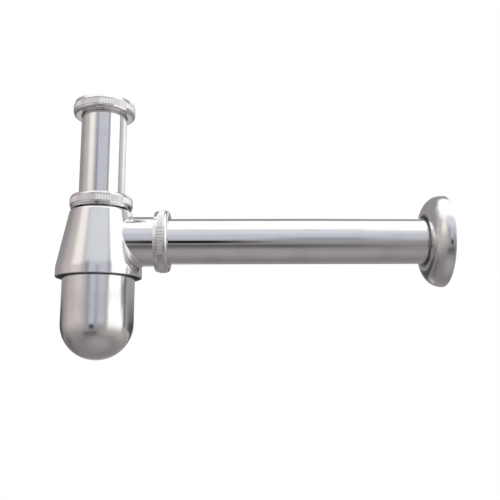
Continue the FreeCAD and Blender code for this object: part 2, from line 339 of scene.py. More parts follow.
def thread(low, high, lead, depth):
    """Wave depth * cos(2 pi h / lead - a), faded out over a third of a lead at both ends of its wall."""
    def wave(height, angle):
        fade_in = np.clip(FADES_IN_LEAD * (height - low) / lead, 0, 1)
        fade_out = np.clip(FADES_IN_LEAD * (high - height) / lead, 0, 1)
        return depth * fade_in * fade_out * np.cos(2 * math.pi * height / lead - angle)
    return wave


nut_lead = lead_of("body_ring_lift")
bowl_lead = lead_of("bowl_drop")
print(f"nut thread climbs {nut_lead:.3f} mm a turn, bowl thread {bowl_lead:.3f} mm")

# %% [markdown]
# ## Slip nuts
# Three equal nuts: one hangs the trap on the basin waste, two squeeze a rubber cone round a tube. A hand
# turns them, so a band of fine upright teeth runs round the middle, between two turned grooves. The mouth
# is bevelled and the holed end is a round shoulder. One drawing, with its mouth at zero, serves for all
# three.

# %% One drawing for the three nuts
NUT_WALL = 1.78
NUT_END_WALL = 1.6
NUT_THREAD = 4.4
NUT_RELIEF_END = 6.2
NUT_RELIEF_OUT = 0.74
NUT_POCKET_STEP = 0.3
NUT_BEVEL = 2.9
NUT_BEVEL_DROP = 0.7
NUT_BAND = 4.0
NUT_BAND_RISE = 0.3
NUT_GROOVE = 0.5
NUT_SHOULDER_ROUND = 2.1
NUT_HOLE_CHAMFER = 0.6
TUBE_PLAY = 0.4
nut_foot, nut_top = span("body_nut", Z)
nut_length = nut_top - nut_foot
band_r = thread_r + NUT_WALL
smooth_r = band_r - NUT_BAND_RISE
socket_bore_r = tube_r + TUBE_PLAY


def nut_profile():
    """Nut with its mouth at zero: bevel, grooved band, shoulder, then back inside past pocket and thread."""
    groove_r = smooth_r - NUT_GROOVE / 2
    band_end = NUT_BEVEL + NUT_BAND
    floor = nut_length - NUT_END_WALL
    relief_r = thread_r + NUT_RELIEF_OUT
    pocket_r = thread_r - NUT_POCKET_STEP
    return outline([
        (female_r, 0, EDGE),
        (smooth_r - NUT_BEVEL_DROP, 0, EDGE),
        (smooth_r, NUT_BEVEL - NUT_GROOVE, NUT_BEVEL),
        (groove_r, NUT_BEVEL - NUT_GROOVE / 2),
        (band_r, NUT_BEVEL, EDGE),
        (band_r, band_end, EDGE),
        (groove_r, band_end + NUT_GROOVE / 2),
        (smooth_r, band_end + NUT_GROOVE, EDGE),
        (smooth_r, nut_length, NUT_SHOULDER_ROUND),
        (socket_bore_r, nut_length, EDGE),
        (socket_bore_r, floor + NUT_HOLE_CHAMFER),
        (socket_bore_r + NUT_HOLE_CHAMFER, floor),
        (pocket_r, floor),
        (pocket_r, NUT_RELIEF_END),
        (relief_r, NUT_RELIEF_END),
        (relief_r, NUT_THREAD),
        (female_r, NUT_THREAD, 0, THREAD_STEP),
    ])


print(f"nut {nut_length:.1f} mm long and {2 * band_r:.1f} mm across, drawn with {len(nut_profile())} points")

# %% [markdown]
# Teeth and thread are ripples on two walls of the drawing. The teeth are real geometry, because their
# glitter at a distance is what sets the band off from the polished parts, and a bump on a smooth band
# would lose it at the rim. The basin's nut is the drawing turned over, and the branch's nut is laid down
# along the outlet.

# %% Teeth, threads and the three nuts
TEETH = 136
TOOTH_DEPTH = 0.24
TOOTH_COLUMNS = 6


def nut_teeth(height, angle):
    """Upright teeth cut into the band: the radius dips by half a cosine wave, TEETH times round."""
    return -TOOTH_DEPTH * (0.5 - 0.5 * np.cos(TEETH * angle)) + 0 * height


def slip_nut(name, mouth, mouth_up=False, along_outlet=False):
    """Nut skin with its mouth at a place on its axis, holed end above it, or below when the mouth is up."""
    profile = nut_profile()
    if mouth_up:
        profile = profile[::-1] * (1, -1)
    profile = profile + (0, mouth)
    ends = sorted([mouth, mouth - NUT_THREAD if mouth_up else mouth + NUT_THREAD])
    ripples = [(band_r, nut_teeth), (female_r, thread(*ends, nut_lead, THREAD_DEPTH))]
    return turned(name, profile, along_outlet, ripples, columns=TEETH * TOOTH_COLUMNS)


inlet_nut = slip_nut("inlet_nut_skin", span("inlet_nut", Z)[1], mouth_up=True)
fit(inlet_nut, "inlet_nut", "inlet_nut")
body_nut = slip_nut("body_nut_skin", nut_foot)
fit(body_nut, "body_nut", "body_nut")
branch_nut = slip_nut("branch_nut_skin", span("branch_nut", X)[0], along_outlet=True)
fit(branch_nut, "branch_nut", "branch_nut")

# %% [markdown]
# ## Rings inside the joints
# Behind each nut sit a rubber cone, which is squeezed on the tube, and a plastic ring, which lets the nut
# turn without dragging the rubber. A flat washer lies on the dip tube's collar, and a thick ring seals
# the bowl: its foot is the black line under the bell. These are small turned drawings with softly rounded
# edges.

# %% Washer, cone seals, slip rings and bowl seal
SEAT_FLARE = 2.0
SEAT_DEPTH = 4.0
SEAL_PLAY = 0.1
SEAL_WEDGE = 3.0
GRIP_PLAY = 0.05
SOFT_EDGE = 0.3
BOWL_WALL_R = 24.8
BOWL_SEAL_ROUND = 0.5
seat_r = socket_bore_r + SEAT_FLARE


def flat_ring(inner, outer, low, high, edge):
    """Ring of rectangular section with its four edges rounded."""
    return outline([(inner, low, edge), (outer, low, edge), (outer, high, edge), (inner, high, edge)])


def cone_profile(low, high):
    """Wedge ring: its tip points down into the seat, and its collar lies on the socket's rim."""
    rim = low + SEAL_WEDGE
    wedge_r = seat_r - SEAL_PLAY
    tip_r = wedge_r - SEAL_WEDGE * SEAT_FLARE / SEAT_DEPTH
    return outline([
        (tube_r + GRIP_PLAY, low, EDGE),
        (tip_r, low, EDGE),
        (wedge_r, rim),
        (collar_r, rim, EDGE),
        (collar_r, high, SOFT_EDGE),
        (tube_r + GRIP_PLAY, high, SOFT_EDGE),
    ])


def slip_ring_profile(low, high):
    """Thin flat ring that lies between a seal and its nut."""
    return flat_ring(socket_bore_r, collar_r, low, high, EDGE)


washer = turned("inlet_washer_skin", flat_ring(tube_r, collar_r, *span("inlet_washer", Z), SOFT_EDGE))
fit(washer, "inlet_washer", "inlet")
body_seal = turned("body_cone_seal_skin", cone_profile(*span("body_cone_seal", Z)))
fit(body_seal, "body_cone_seal", "body_seal")
branch_seal = turned("branch_cone_seal_skin", cone_profile(*span("branch_cone_seal", X)), along_outlet=True)
fit(branch_seal, "branch_cone_seal", "body")
body_ring = turned("body_slip_ring_skin", slip_ring_profile(*span("body_slip_ring", Z)))
fit(body_ring, "body_slip_ring", "body_slip_ring")
branch_ring = turned("branch_slip_ring_skin", slip_ring_profile(*span("branch_slip_ring", X)),
                     along_outlet=True)
fit(branch_ring, "branch_slip_ring", "branch_slip_ring")
seal_foot, seal_top = span("bowl_seal", Z)
seal_r = span("bowl_seal", X)[1]
bowl_seal = turned("bowl_seal_skin",
                   flat_ring(BOWL_WALL_R + GRIP_PLAY, seal_r, seal_foot, seal_top, BOWL_SEAL_ROUND))
fit(bowl_seal, "bowl_seal", "bowl_seal")

# %% [markdown]
# ## Bowl
# The bowl was spun from one sheet: a straight wall that ends in a half ball, with a threaded collar
# soldered round its top. A UV sphere cut in two would have its pole where the reflections are largest,
# and so does this, but the pole's points are merged into one, and the arc is cut finely, so no star shows
# there.

# %% Spin the bowl
BOWL_WALL = 1.3
BOWL_RIM_ROUND = 0.4
BALL_STEPS = 40
bowl_bottom, bowl_top = span("bowl", Z)
bowl_male_r = span("bowl", X)[1]
ball_centre = bowl_bottom + BOWL_WALL_R
bowl_inner_r = BOWL_WALL_R - BOWL_WALL


def quarter_ball(radius):
    """Quarter circle from the axis at the bottom to the side of the ball: (R sin t, centre - R cos t)."""
    t = np.linspace(0, math.pi / 2, BALL_STEPS + 1)
    return np.stack([radius * np.sin(t), ball_centre - radius * np.cos(t)], axis=-1)


bowl_sides = outline([
    (BOWL_WALL_R, ball_centre + END_STEP),
    (BOWL_WALL_R, seal_top),
    (bowl_male_r, seal_top, 0, THREAD_STEP),
    (bowl_male_r, bowl_top, BOWL_RIM_ROUND),
    (bowl_inner_r, bowl_top, BOWL_RIM_ROUND),
    (bowl_inner_r, ball_centre + END_STEP),
], closed=False)
bowl_profile = np.concatenate([quarter_ball(BOWL_WALL_R), bowl_sides, quarter_ball(bowl_inner_r)[::-1]])
bowl_wave = thread(seal_top, bowl_top, bowl_lead, BOWL_THREAD_DEPTH)
bowl = turned("bowl_skin", bowl_profile, ripples=[(bowl_male_r, bowl_wave)], closed=False)
fit(bowl, "bowl", "bowl")

# %% [markdown]
# ## Wall flange
# A thin sheet was pressed into a dome with its edge on the wall and its hole's lip rolled in round the
# tube. The back is open. Solidify on a dome would do, but the drawing keeps the sheet's inner arcs
# parallel to the outer.

# %% Press the flange
FLANGE_SHEET = 0.9
FLANGE_PLAY = 0.3
FLANGE_LIP_ROUND = 2.6
FLANGE_DOME_ROUND = 12.8
crest, wall_plane = span("wall_flange", X)
flange_r = span("wall_flange", Y)[1]
flange_hole_r = tube_r + FLANGE_PLAY
lip_end = crest + FLANGE_LIP_ROUND + FLANGE_SHEET

flange = turned("wall_flange_skin", outline([
    (flange_hole_r, lip_end),
    (flange_hole_r + FLANGE_SHEET, lip_end),
    (flange_hole_r + FLANGE_SHEET, crest + FLANGE_SHEET, FLANGE_LIP_ROUND - FLANGE_SHEET),
    (flange_r - FLANGE_SHEET, crest + FLANGE_SHEET, FLANGE_DOME_ROUND - FLANGE_SHEET),
    (flange_r - FLANGE_SHEET, wall_plane, EDGE),
    (flange_r, wall_plane, 2 * EDGE),
    (flange_r, crest, FLANGE_DOME_ROUND),
    (flange_hole_r, crest, FLANGE_LIP_ROUND),
])[::-1], along_outlet=True)
fit(flange, "wall_flange", "wall_flange")

# %% [markdown]
# ## Bell body with its branch
# The body is the hardest piece: a round bell, open below, with a threaded neck on top and a threaded
# branch that grows out of its side through a small fillet. A Boolean would join the two, but it leaves
# slivers that a mirror shows. So the front of the bell is drawn as a sheet with a round hole: its rows
# run from a frame on the bell in to the hole, over the fillet, out along the branch, round its rim, and
# back through the bore to the inside wall.

# %% Formulas of the bell's walls
BELL_TOP_UP = 21.7
BELL_SHOULDER = 1.2
BELL_TOP_ROUND = 2.5
BELL_CEILING = 3.0
SKIRT_BEND_DOWN = 19.0
BEND_ROUND = 20.0
BODY_WALL = 2.25
SKIRT_MOUTH_PLAY = 0.3
bell_top_r = thread_r + BELL_SHOULDER
skirt_r = -span("trap_body", X)[0]
skirt_foot, neck_rim = span("trap_body", Z)
branch_rim = span("trap_body", X)[1]
bell_slope = (skirt_r - bell_top_r) / (BELL_TOP_UP + SKIRT_BEND_DOWN)
lean = math.atan(bell_slope)
bend_reach = BEND_ROUND * math.tan(lean / 2)
bend_foot = -SKIRT_BEND_DOWN - bend_reach
bend_head = -SKIRT_BEND_DOWN + bend_reach * math.cos(lean)
bowl_female_r = bowl_male_r + 2 * THREAD_PLAY


def cone_r(up):
    """Radius of the straight cone at a height."""
    return bell_top_r + bell_slope * (BELL_TOP_UP - up)


def bell_r(up):
    """Outside radius: the cone, then an arc that runs into the upright skirt."""
    dip = np.clip(up - bend_foot, 0, BEND_ROUND)
    arc = skirt_r - BEND_ROUND + np.sqrt(BEND_ROUND ** 2 - dip ** 2)
    return np.where(up > bend_head, cone_r(up), arc)


def cavity_r(up):
    """Inside radius: parallel to the cone, down to the straight wall that carries the bowl's thread."""
    return np.minimum(cone_r(up) - BODY_WALL, bowl_female_r)


print(f"bell leans {math.degrees(lean):.1f} degrees, skirt radius {skirt_r:.2f} mm")

# %% [markdown]
# Neck and branch end alike, in a threaded socket with a conical seat for a seal. So one list of corners
# and one thread serve both, and only the place of the rim differs.

# %% Threaded sockets
SOCKET_THREAD = 4.6
SOCKET_RUNOUT = 0.6
SOCKET_EDGE = 0.4
BRANCH_WALL = 1.0
branch_r = socket_bore_r + BRANCH_WALL


def socket_corners(rim):
    """Threaded end of a socket, from its plain stub over the rim to the foot of the seal's conical seat."""
    return [
        (branch_r, rim - SOCKET_THREAD - SOCKET_RUNOUT, EDGE),
        (male_r, rim - SOCKET_THREAD, EDGE, THREAD_STEP),
        (male_r, rim, SOCKET_EDGE),
        (seat_r, rim, EDGE),
        (socket_bore_r, rim - SEAT_DEPTH),
    ]


def socket_wave(rim):
    """Thread on the outside of a socket."""
    return male_r, thread(rim - SOCKET_THREAD, rim, nut_lead, THREAD_DEPTH)


print(f"sockets: neck's rim {neck_rim:.2f} mm up, branch's rim {branch_rim:.2f} mm out")

# %% [markdown]
# Above and below the pierced wall the body is plain turned work: the neck with its socket, and the lip of
# the skirt with the bowl's thread. The rear of the wall is plain too. The angles are shared by all parts,
# so their edges meet point on point.

# %% Turned parts of the body
SKIRT_EDGE = 0.5
OUTSIDE = (-24.0, 19.5)  # foot and head of the pierced wall, outside
INSIDE = (-18.2, 16.6)  # and inside
FRONT_HALF = math.radians(75)
FRONT_COLUMNS = 60
REAR_COLUMNS = 84
WALL_ROWS = 48
front_angles = np.linspace(-FRONT_HALF, FRONT_HALF, FRONT_COLUMNS + 1)
rear_angles = np.linspace(FRONT_HALF, 2 * math.pi - FRONT_HALF, REAR_COLUMNS + 1)
all_angles = np.concatenate([front_angles[:-1], rear_angles[:-1]])
ceiling = BELL_TOP_UP - BELL_CEILING
neck_profile = outline([
    (float(bell_r(OUTSIDE[1])), OUTSIDE[1]),
    (bell_top_r, BELL_TOP_UP, BELL_TOP_ROUND),
    (branch_r, BELL_TOP_UP, EDGE),
    *socket_corners(neck_rim),
    (socket_bore_r, ceiling, SOFT_EDGE),
    (float(cavity_r(ceiling)), ceiling, BELL_TOP_ROUND),
    (float(cavity_r(INSIDE[1])), INSIDE[1]),
], closed=False)
mouth_r = seal_r + SKIRT_MOUTH_PLAY
skirt_profile = outline([
    (bowl_female_r, INSIDE[0], 0, THREAD_STEP),
    (bowl_female_r, seal_top),
    (mouth_r, seal_top),
    (mouth_r, skirt_foot, EDGE),
    (skirt_r, skirt_foot, SKIRT_EDGE),
    (skirt_r, OUTSIDE[0]),
], closed=False)
neck_part = ring(neck_profile, all_angles, [socket_wave(neck_rim)])
skirt_wave = thread(seal_top, INSIDE[0], bowl_lead, BOWL_THREAD_DEPTH)
skirt_part = ring(skirt_profile, all_angles, [(bowl_female_r, skirt_wave)])


def on_wall(radius_at, angle, height):
    """Points (R(h) cos a, R(h) sin a, h) of a turned wall at given angles and heights."""
    radius = radius_at(height)
    return np.stack([radius * np.cos(angle), radius * np.sin(angle), height], axis=-1)


def wall(radius_at, heights, angles):
    """Piece of a turned wall on a grid: every height at every angle."""
    height, angle = np.meshgrid(heights, angles, indexing="ij")
    return on_wall(radius_at, angle, height)


outside_heights = np.linspace(*OUTSIDE, WALL_ROWS + 1)
inside_heights = np.linspace(*INSIDE, WALL_ROWS + 1)
rear_outside = wall(bell_r, outside_heights, rear_angles)
rear_inside = wall(cavity_r, inside_heights[::-1], rear_angles)
print("turned rows of the neck and the skirt:", len(neck_profile), len(skirt_profile))

# %% [markdown]
# The pierced sheet's rows all go once round the branch. The outermost follows a frame on the bell, as
# angle and height, and each further row moves straight in that chart towards the hole.

# %% A chart for the pierced front
def frame_chart(heights):
    """Angle and height of each point of the frame: up one side, over the top, down the other and back."""
    up, across = heights[:-1], front_angles[:-1]
    down, over = heights[:0:-1], front_angles[:0:-1]
    side, top = np.ones(WALL_ROWS), np.ones(FRONT_COLUMNS)
    angle = np.concatenate([FRONT_HALF * side, over, -FRONT_HALF * side, across])
    height = np.concatenate([up, heights[-1] * top, down, heights[0] * top])
    return angle, height


def wall_out(radius_at, around, away):
    """Distance along the branch to a wall, at an angle round the branch and a distance off its axis."""
    return np.sqrt(radius_at(away * np.sin(around)) ** 2 - (away * np.cos(around)) ** 2)


def round_branch(around, away, out):
    """Points at an angle round the branch, a distance away from its axis and a distance out along it."""
    sides = np.broadcast_arrays(out, away * np.cos(around), away * np.sin(around))
    return np.stack(sides, axis=-1)


def sheet_rows(radius_at, frame_angle, frame_height, around, away, shares):
    """Rows between the frame and the hole: shares of the way from one to the other in angle and height."""
    hole_height = away * np.sin(around)
    hole_angle = np.arcsin(away * np.cos(around) / radius_at(hole_height))
    share = shares[:, None]
    angle = frame_angle + share * (hole_angle - frame_angle)
    height = frame_height + share * (hole_height - frame_height)
    return on_wall(radius_at, angle, height)


frame_angle, frame_height = frame_chart(outside_heights)
print(len(frame_angle), "points on the frame of the pierced front")

# %% [markdown]
# At the hole the fillet is worked out in the plane of each direction: a small circle that touches the
# branch's side and the bell's slope there. A Bevel would have to guess that curve from the mesh.

# %% Sheet and fillet
BRANCH_FILLET = 1.2
SHEET_ROWS = 24
FILLET_ROWS = 9
SLOPE_STEP = 0.15
around = np.arctan2(frame_height, bell_r(frame_height) * np.sin(frame_angle))
farther_out = wall_out(bell_r, around, branch_r + SLOPE_STEP)
nearer_out = wall_out(bell_r, around, branch_r - SLOPE_STEP)
slope = (farther_out - nearer_out) / (2 * SLOPE_STEP)
stretch = np.sqrt(1 + slope ** 2)
foot_out = wall_out(bell_r, around, branch_r)
fillet_out = foot_out + BRANCH_FILLET * (slope + stretch)
fillet_away = branch_r + BRANCH_FILLET
start_turn = np.arctan2(-1, slope)
fillet_turn = start_turn + np.linspace(0, 1, FILLET_ROWS)[:, None] * (-math.pi - start_turn)
away = fillet_away + BRANCH_FILLET * np.cos(fillet_turn)
tangent_line = foot_out + slope * (away - branch_r)
fillet_rise = fillet_out + BRANCH_FILLET * np.sin(fillet_turn) - tangent_line
fillet_rows = round_branch(around, away, wall_out(bell_r, around, away) + fillet_rise)
sheet_shares = np.linspace(0, 1, SHEET_ROWS)
outer_rows = sheet_rows(bell_r, frame_angle, frame_height, around, away[0], sheet_shares[:-1])
print(f"fillet starts {away[0].min():.2f} to {away[0].max():.2f} mm from the branch's axis")

# %% [markdown]
# From the fillet the rows go out along the stub, take the threaded end from the same drawing as the neck,
# and come back through the bore to the water space. Then all the parts are put together and the doubled
# points merged.

# %% Put the body together
STUB_ROWS = 8
socket_profile = outline(socket_corners(branch_rim), closed=False)
stub_end, seat_foot = socket_profile[[0, -1], 1]
stub_shares = np.concatenate([[END_STEP / branch_r], np.linspace(0, 1, STUB_ROWS)[1:-1]])[:, None]
stub_rows = round_branch(around, branch_r, fillet_out + stub_shares * (stub_end - fillet_out))
base_r, male_wave = socket_wave(branch_rim)
socket_r = socket_profile[:, :1] + 0 * around
socket_r = socket_r + carries(socket_profile, base_r) * male_wave(socket_profile[:, 1:], around)
socket_rows = round_branch(around, socket_r, socket_profile[:, 1:])
bore_end = wall_out(cavity_r, around, socket_bore_r)
bore_shares = np.linspace(0, 1, STUB_ROWS)[1:, None]
bore_rows = round_branch(around, socket_bore_r, seat_foot + bore_shares * (bore_end - seat_foot))
inner_angle, inner_height = frame_chart(inside_heights)
inner_rows = sheet_rows(cavity_r, inner_angle, inner_height, around, socket_bore_r + 0 * around,
                        sheet_shares[-2::-1])
pierced_front = np.concatenate([outer_rows, fillet_rows, stub_rows, socket_rows, bore_rows, inner_rows])

body = skin("trap_body_skin", [
    (pierced_front, False, True),
    (rear_outside, False, False),
    (rear_inside, False, False),
    (neck_part, False, True),
    (skirt_part, False, True),
])
fit(body, "trap_body", "body")

# %% [markdown]
# ## Writing shader graphs as formulas
# A finish is a formula over the surface. Wiring it by hand hides the formula, so one small class wraps a
# socket and lets Python's + - * add the Math nodes. Any other node comes from one method: its type, its
# settings, and then what goes into its sockets.

# %% A socket that can be reckoned with
class Wire:
    """One output of a shader graph; sums and products of wires and numbers add the Math nodes for them."""

    MIX_FACTOR, MIX_FIRST, MIX_SECOND, MIX_RESULT = 0, 6, 7, 2  # places of the Mix node's colour sockets

    def __init__(self, tree, socket):
        self.tree = tree
        self.socket = socket

    def node(self, kind, settings=None, inputs=None, output=0):
        """Adds a node of a type with settings, gives its sockets values or links, and returns an output."""
        made = self.tree.nodes.new(kind)
        for key, value in (settings or {}).items():
            setattr(made, key, value)
        for key, value in (inputs or {}).items():
            if isinstance(value, Wire):
                self.tree.links.new(value.socket, made.inputs[key])
            else:
                made.inputs[key].default_value = value
        return Wire(self.tree, made.outputs[output] if made.outputs else None)

    def math(self, operation, *values):
        """One Math node on this wire and other values, in the order given."""
        return self.node("ShaderNodeMath", {"operation": operation}, dict(enumerate(values)))

    def __add__(self, other):
        return self.math("ADD", self, other)

    def __sub__(self, other):
        return self.math("SUBTRACT", self, other)

    def __rsub__(self, other):
        return self.math("SUBTRACT", other, self)

    def __mul__(self, other):
        return self.math("MULTIPLY", self, other)

    __radd__ = __add__
    __rmul__ = __mul__

    def between(self, low, high):
        """Smooth step: 0 up to low, 1 from high on."""
        inputs = {"Value": self, "From Min": low, "From Max": high}
        return self.node("ShaderNodeMapRange", {"interpolation_type": "SMOOTHSTEP"}, inputs)

    def mixed(self, first, second):
        """Colour mix: the first colour where this wire is 0, the second where it is 1."""
        inputs = {self.MIX_FACTOR: self, self.MIX_FIRST: first, self.MIX_SECOND: second}
        return self.node("ShaderNodeMix", {"data_type": "RGBA"}, inputs, self.MIX_RESULT)


def graph(tree):
    """An empty graph to start from, as a wire with no socket."""
    tree.nodes.clear()
    return Wire(tree, None)


def paint(piece, finish):
    """Gives a piece a finish as its one material."""
    piece.data.materials.clear()
    piece.data.materials.append(finish)


print("reflected operators:", [name for name in vars(Wire) if name.startswith("__r")])

# %% [markdown]
# ## Chrome
# Chrome plating is a mirror with a slightly blue grey of its own. On brass that was polished by hand it is
# never perfect: a thin haze lies in patches, and the buffing wheel leaves the surface a little wavy, which
# is why straight reflections swim along a tube. So the roughness follows cloudy noise and a very faint bump
# follows noise drawn out along the piece. A single grey with one roughness would look like a rendering. The
# tubes and nuts are the clearest, and the body, the bowl and the flange are hazier. The plating doesn't
# reach into the tubes, so there the finish changes to bare brass by its distance from the tube's axis. In
# the same way the flange's colour turns dark grey round its hole, as painted shade where the tube passes
# through it.

# %% Chrome finishes
CHROME_CLEAR = (0.87, 0.875, 0.885, 1)
CHROME_HAZY = (0.80, 0.80, 0.81, 1)
BRASS = (0.55, 0.40, 0.20, 1)
# Painted shade round the flange's hole: its dark grey, and how far past the hole it reaches before it fades.
PAINTED_SHADE_GREY = (0.24, 0.235, 0.24, 1)
PAINTED_SHADE_REACH = 1.2
BARE_BORE = {"radius": bore_r, "fade": 0.1, "colour": BRASS, "rougher": 0.35}
# Painted shade ring: within this radius of the flange's axis its colour turns dark grey, fading out over 3
# mm.
PAINTED_SHADE_RING = {"radius": flange_hole_r + PAINTED_SHADE_REACH, "fade": 3.0, "colour": PAINTED_SHADE_GREY, "rougher": 0.0}
CLOUDS_A_METRE = 60
CLOUD_LIMITS = (0.45, 0.75)
SPECKS_A_METRE = 900
SPECK_LIMITS = (0.62, 0.8)
SPECK_ROUGHNESS = 0.02
WAVES_A_METRE = 110
TUBE_WAVE = 0.02 * MM
BODY_WAVE = 0.03 * MM
NUT_WAVE = 0.002 * MM
EVEN_GRAIN = (1, 1, 1)
LEVEL_GRAIN = (0.08, 1, 1)
UPRIGHT_GRAIN = (1, 1, 0.08)
SPUN_GRAIN = (1, 1, 0.2)
DIP_HAZE = (0.015, 0.035)
WALL_HAZE = (0.012, 0.03)
BODY_HAZE = (0.10, 0.16)
BOWL_HAZE = (0.16, 0.21)
NUT_HAZE = (0.04, 0.09)
FLANGE_HAZE = (0.15, 0.21)


def noise(start, place, scale, detail):
    """Cloudy noise between 0 and 1 at a place, with a number of clouds per metre."""
    inputs = {"Vector": place, "Scale": scale, "Detail": detail}
    return start.node("ShaderNodeTexNoise", None, inputs)


def distance(along, aside):
    """Length of a flat arrow from its two parts: the root of along squared plus aside squared."""
    return along.math("SQRT", along * along + aside * aside)


def near_axis(start, place, axis, radius, fade):
    """1 within a radius of the axis along X or Z through the crossing, falling to 0 over the fade."""
    from_axis = [start.node("ShaderNodeSeparateXYZ", None, {"Vector": place}, side) - crossing[side] * MM
                 for side in (X, Y, Z) if side != axis]
    return 1 - distance(*from_axis).between(radius * MM, (radius + fade) * MM)


def chrome(name, haze, wave, grain, axis=None, inner=None):
    """Mirror finish: roughness in clouds between two hazes, and waves drawn out by the grain's scale.

    Near a given axis an inner finish replaces the plating's colour and adds to its roughness: bare brass in
    the tubes' bores, painted shade round the flange's hole.
    """
    clear, hazy = haze
    material = bpy.data.materials.new(name)
    material.use_nodes = True
    start = graph(material.node_tree)
    place = start.node("ShaderNodeTexCoord", None, None, "Object")
    clouds = noise(start, place, CLOUDS_A_METRE, detail=4).between(*CLOUD_LIMITS)
    specks = noise(start, place, SPECKS_A_METRE, detail=2).between(*SPECK_LIMITS)
    drawn_out = start.node("ShaderNodeMapping", None, {"Vector": place, "Scale": grain})
    waves = noise(start, drawn_out, WAVES_A_METRE, detail=1)
    normal = start.node("ShaderNodeBump", None, {"Strength": 1.0, "Distance": wave, "Height": waves})
    colour = clouds.mixed(CHROME_CLEAR, CHROME_HAZY)
    roughness = clear + (hazy - clear) * clouds + SPECK_ROUGHNESS * specks
    if inner:
        inside = near_axis(start, place, axis, inner["radius"], inner["fade"])
        colour = inside.mixed(colour, inner["colour"])
        roughness = roughness + inner["rougher"] * inside
    shader = start.node("ShaderNodeBsdfPrincipled", None, {
        "Base Color": colour,
        "Metallic": 1.0,
        "Roughness": roughness,
        "Normal": normal,
    })
    start.node("ShaderNodeOutputMaterial", None, {"Surface": shader})
    return material


dip_chrome = chrome("chrome_dip_tube", DIP_HAZE, TUBE_WAVE, UPRIGHT_GRAIN, Z, BARE_BORE)
wall_chrome = chrome("chrome_wall_tube", WALL_HAZE, TUBE_WAVE, LEVEL_GRAIN, X, BARE_BORE)
body_chrome = chrome("chrome_body", BODY_HAZE, BODY_WAVE, SPUN_GRAIN)
bowl_chrome = chrome("chrome_bowl", BOWL_HAZE, BODY_WAVE, SPUN_GRAIN)
nut_chrome = chrome("chrome_nuts", NUT_HAZE, NUT_WAVE, EVEN_GRAIN)
# The flange's finish also carries the painted shade round its hole.
flange_chrome = chrome("chrome_flange_painted_shade", FLANGE_HAZE, BODY_WAVE, EVEN_GRAIN, X, PAINTED_SHADE_RING)
paint(dip_tube, dip_chrome)
paint(wall_tube, wall_chrome)
paint(body, body_chrome)
paint(bowl, bowl_chrome)
for piece in (inlet_nut, body_nut, branch_nut):
    paint(piece, nut_chrome)
paint(flange, flange_chrome)
print("chrome finishes:", [m.name for m in bpy.data.materials if m.name.startswith("chrome_")])

# %% [markdown]
# ## Rubber and plastic
# The seals are black rubber, dull, with a fine grain from the mould and a grey bloom. The slip rings are
# milky polythene, waxy and a little uneven. Both are plain surfaces with noise in colour and roughness.

# %% Rubber and plastic finishes
RUBBER_DARK = (0.008, 0.008, 0.009, 1)
RUBBER_BLOOM = (0.022, 0.022, 0.023, 1)
PLASTIC_DULL = (0.62, 0.62, 0.60, 1)
PLASTIC_MILKY = (0.74, 0.74, 0.71, 1)
BLOOM_A_METRE = 150
BLOOM_LIMITS = (0.35, 0.7)
RUBBER_ROUGHNESS = (0.5, 0.7)
PLASTIC_ROUGHNESS = (0.3, 0.42)
RUBBER_PORES_A_METRE = 2500
PLASTIC_PORES_A_METRE = 900
RUBBER_RELIEF = 0.03 * MM
PLASTIC_RELIEF = 0.01 * MM


def moulded(name, dark, light, roughness, pores_a_metre, relief):
    """Moulded finish: two colours and two roughnesses mixed by noise, with a fine bump."""
    smooth, rough = roughness
    material = bpy.data.materials.new(name)
    material.use_nodes = True
    start = graph(material.node_tree)
    place = start.node("ShaderNodeTexCoord", None, None, "Object")
    bloom = noise(start, place, BLOOM_A_METRE, detail=3).between(*BLOOM_LIMITS)
    pores = noise(start, place, pores_a_metre, detail=2)
    normal = start.node("ShaderNodeBump", None, {"Strength": 1.0, "Distance": relief, "Height": pores})
    shader = start.node("ShaderNodeBsdfPrincipled", None, {
        "Base Color": bloom.mixed(dark, light),
        "Roughness": smooth + (rough - smooth) * bloom,
        "Normal": normal,
    })
    start.node("ShaderNodeOutputMaterial", None, {"Surface": shader})
    return material


rubber = moulded("black_rubber_finish", RUBBER_DARK, RUBBER_BLOOM, RUBBER_ROUGHNESS,
                 RUBBER_PORES_A_METRE, RUBBER_RELIEF)
plastic = moulded("milky_plastic_finish", PLASTIC_DULL, PLASTIC_MILKY, PLASTIC_ROUGHNESS,
                  PLASTIC_PORES_A_METRE, PLASTIC_RELIEF)
for piece in (washer, body_seal, branch_seal, bowl_seal):
    paint(piece, rubber)
for piece in (body_ring, branch_ring):
    paint(piece, plastic)
print("soft finishes:", rubber.name, plastic.name)

# %% [markdown]
# ## Studio
# A mirror looks like what stands round it, so the studio matters more here than the metal. It is painted
# on the sky as soft panels, each with a range of azimuth and elevation in degrees: azimuth 0 is the
# camera's side and 90 is the outlet's side. Their places and tones were measured and tried until the bands
# in the chrome came out as on the real trap, so under another sky it looks different. The camera itself
# sees plain white behind the trap. Area lamps would give the same panels, but as a formula they stay
# noise-free and can be moved by changing a number.

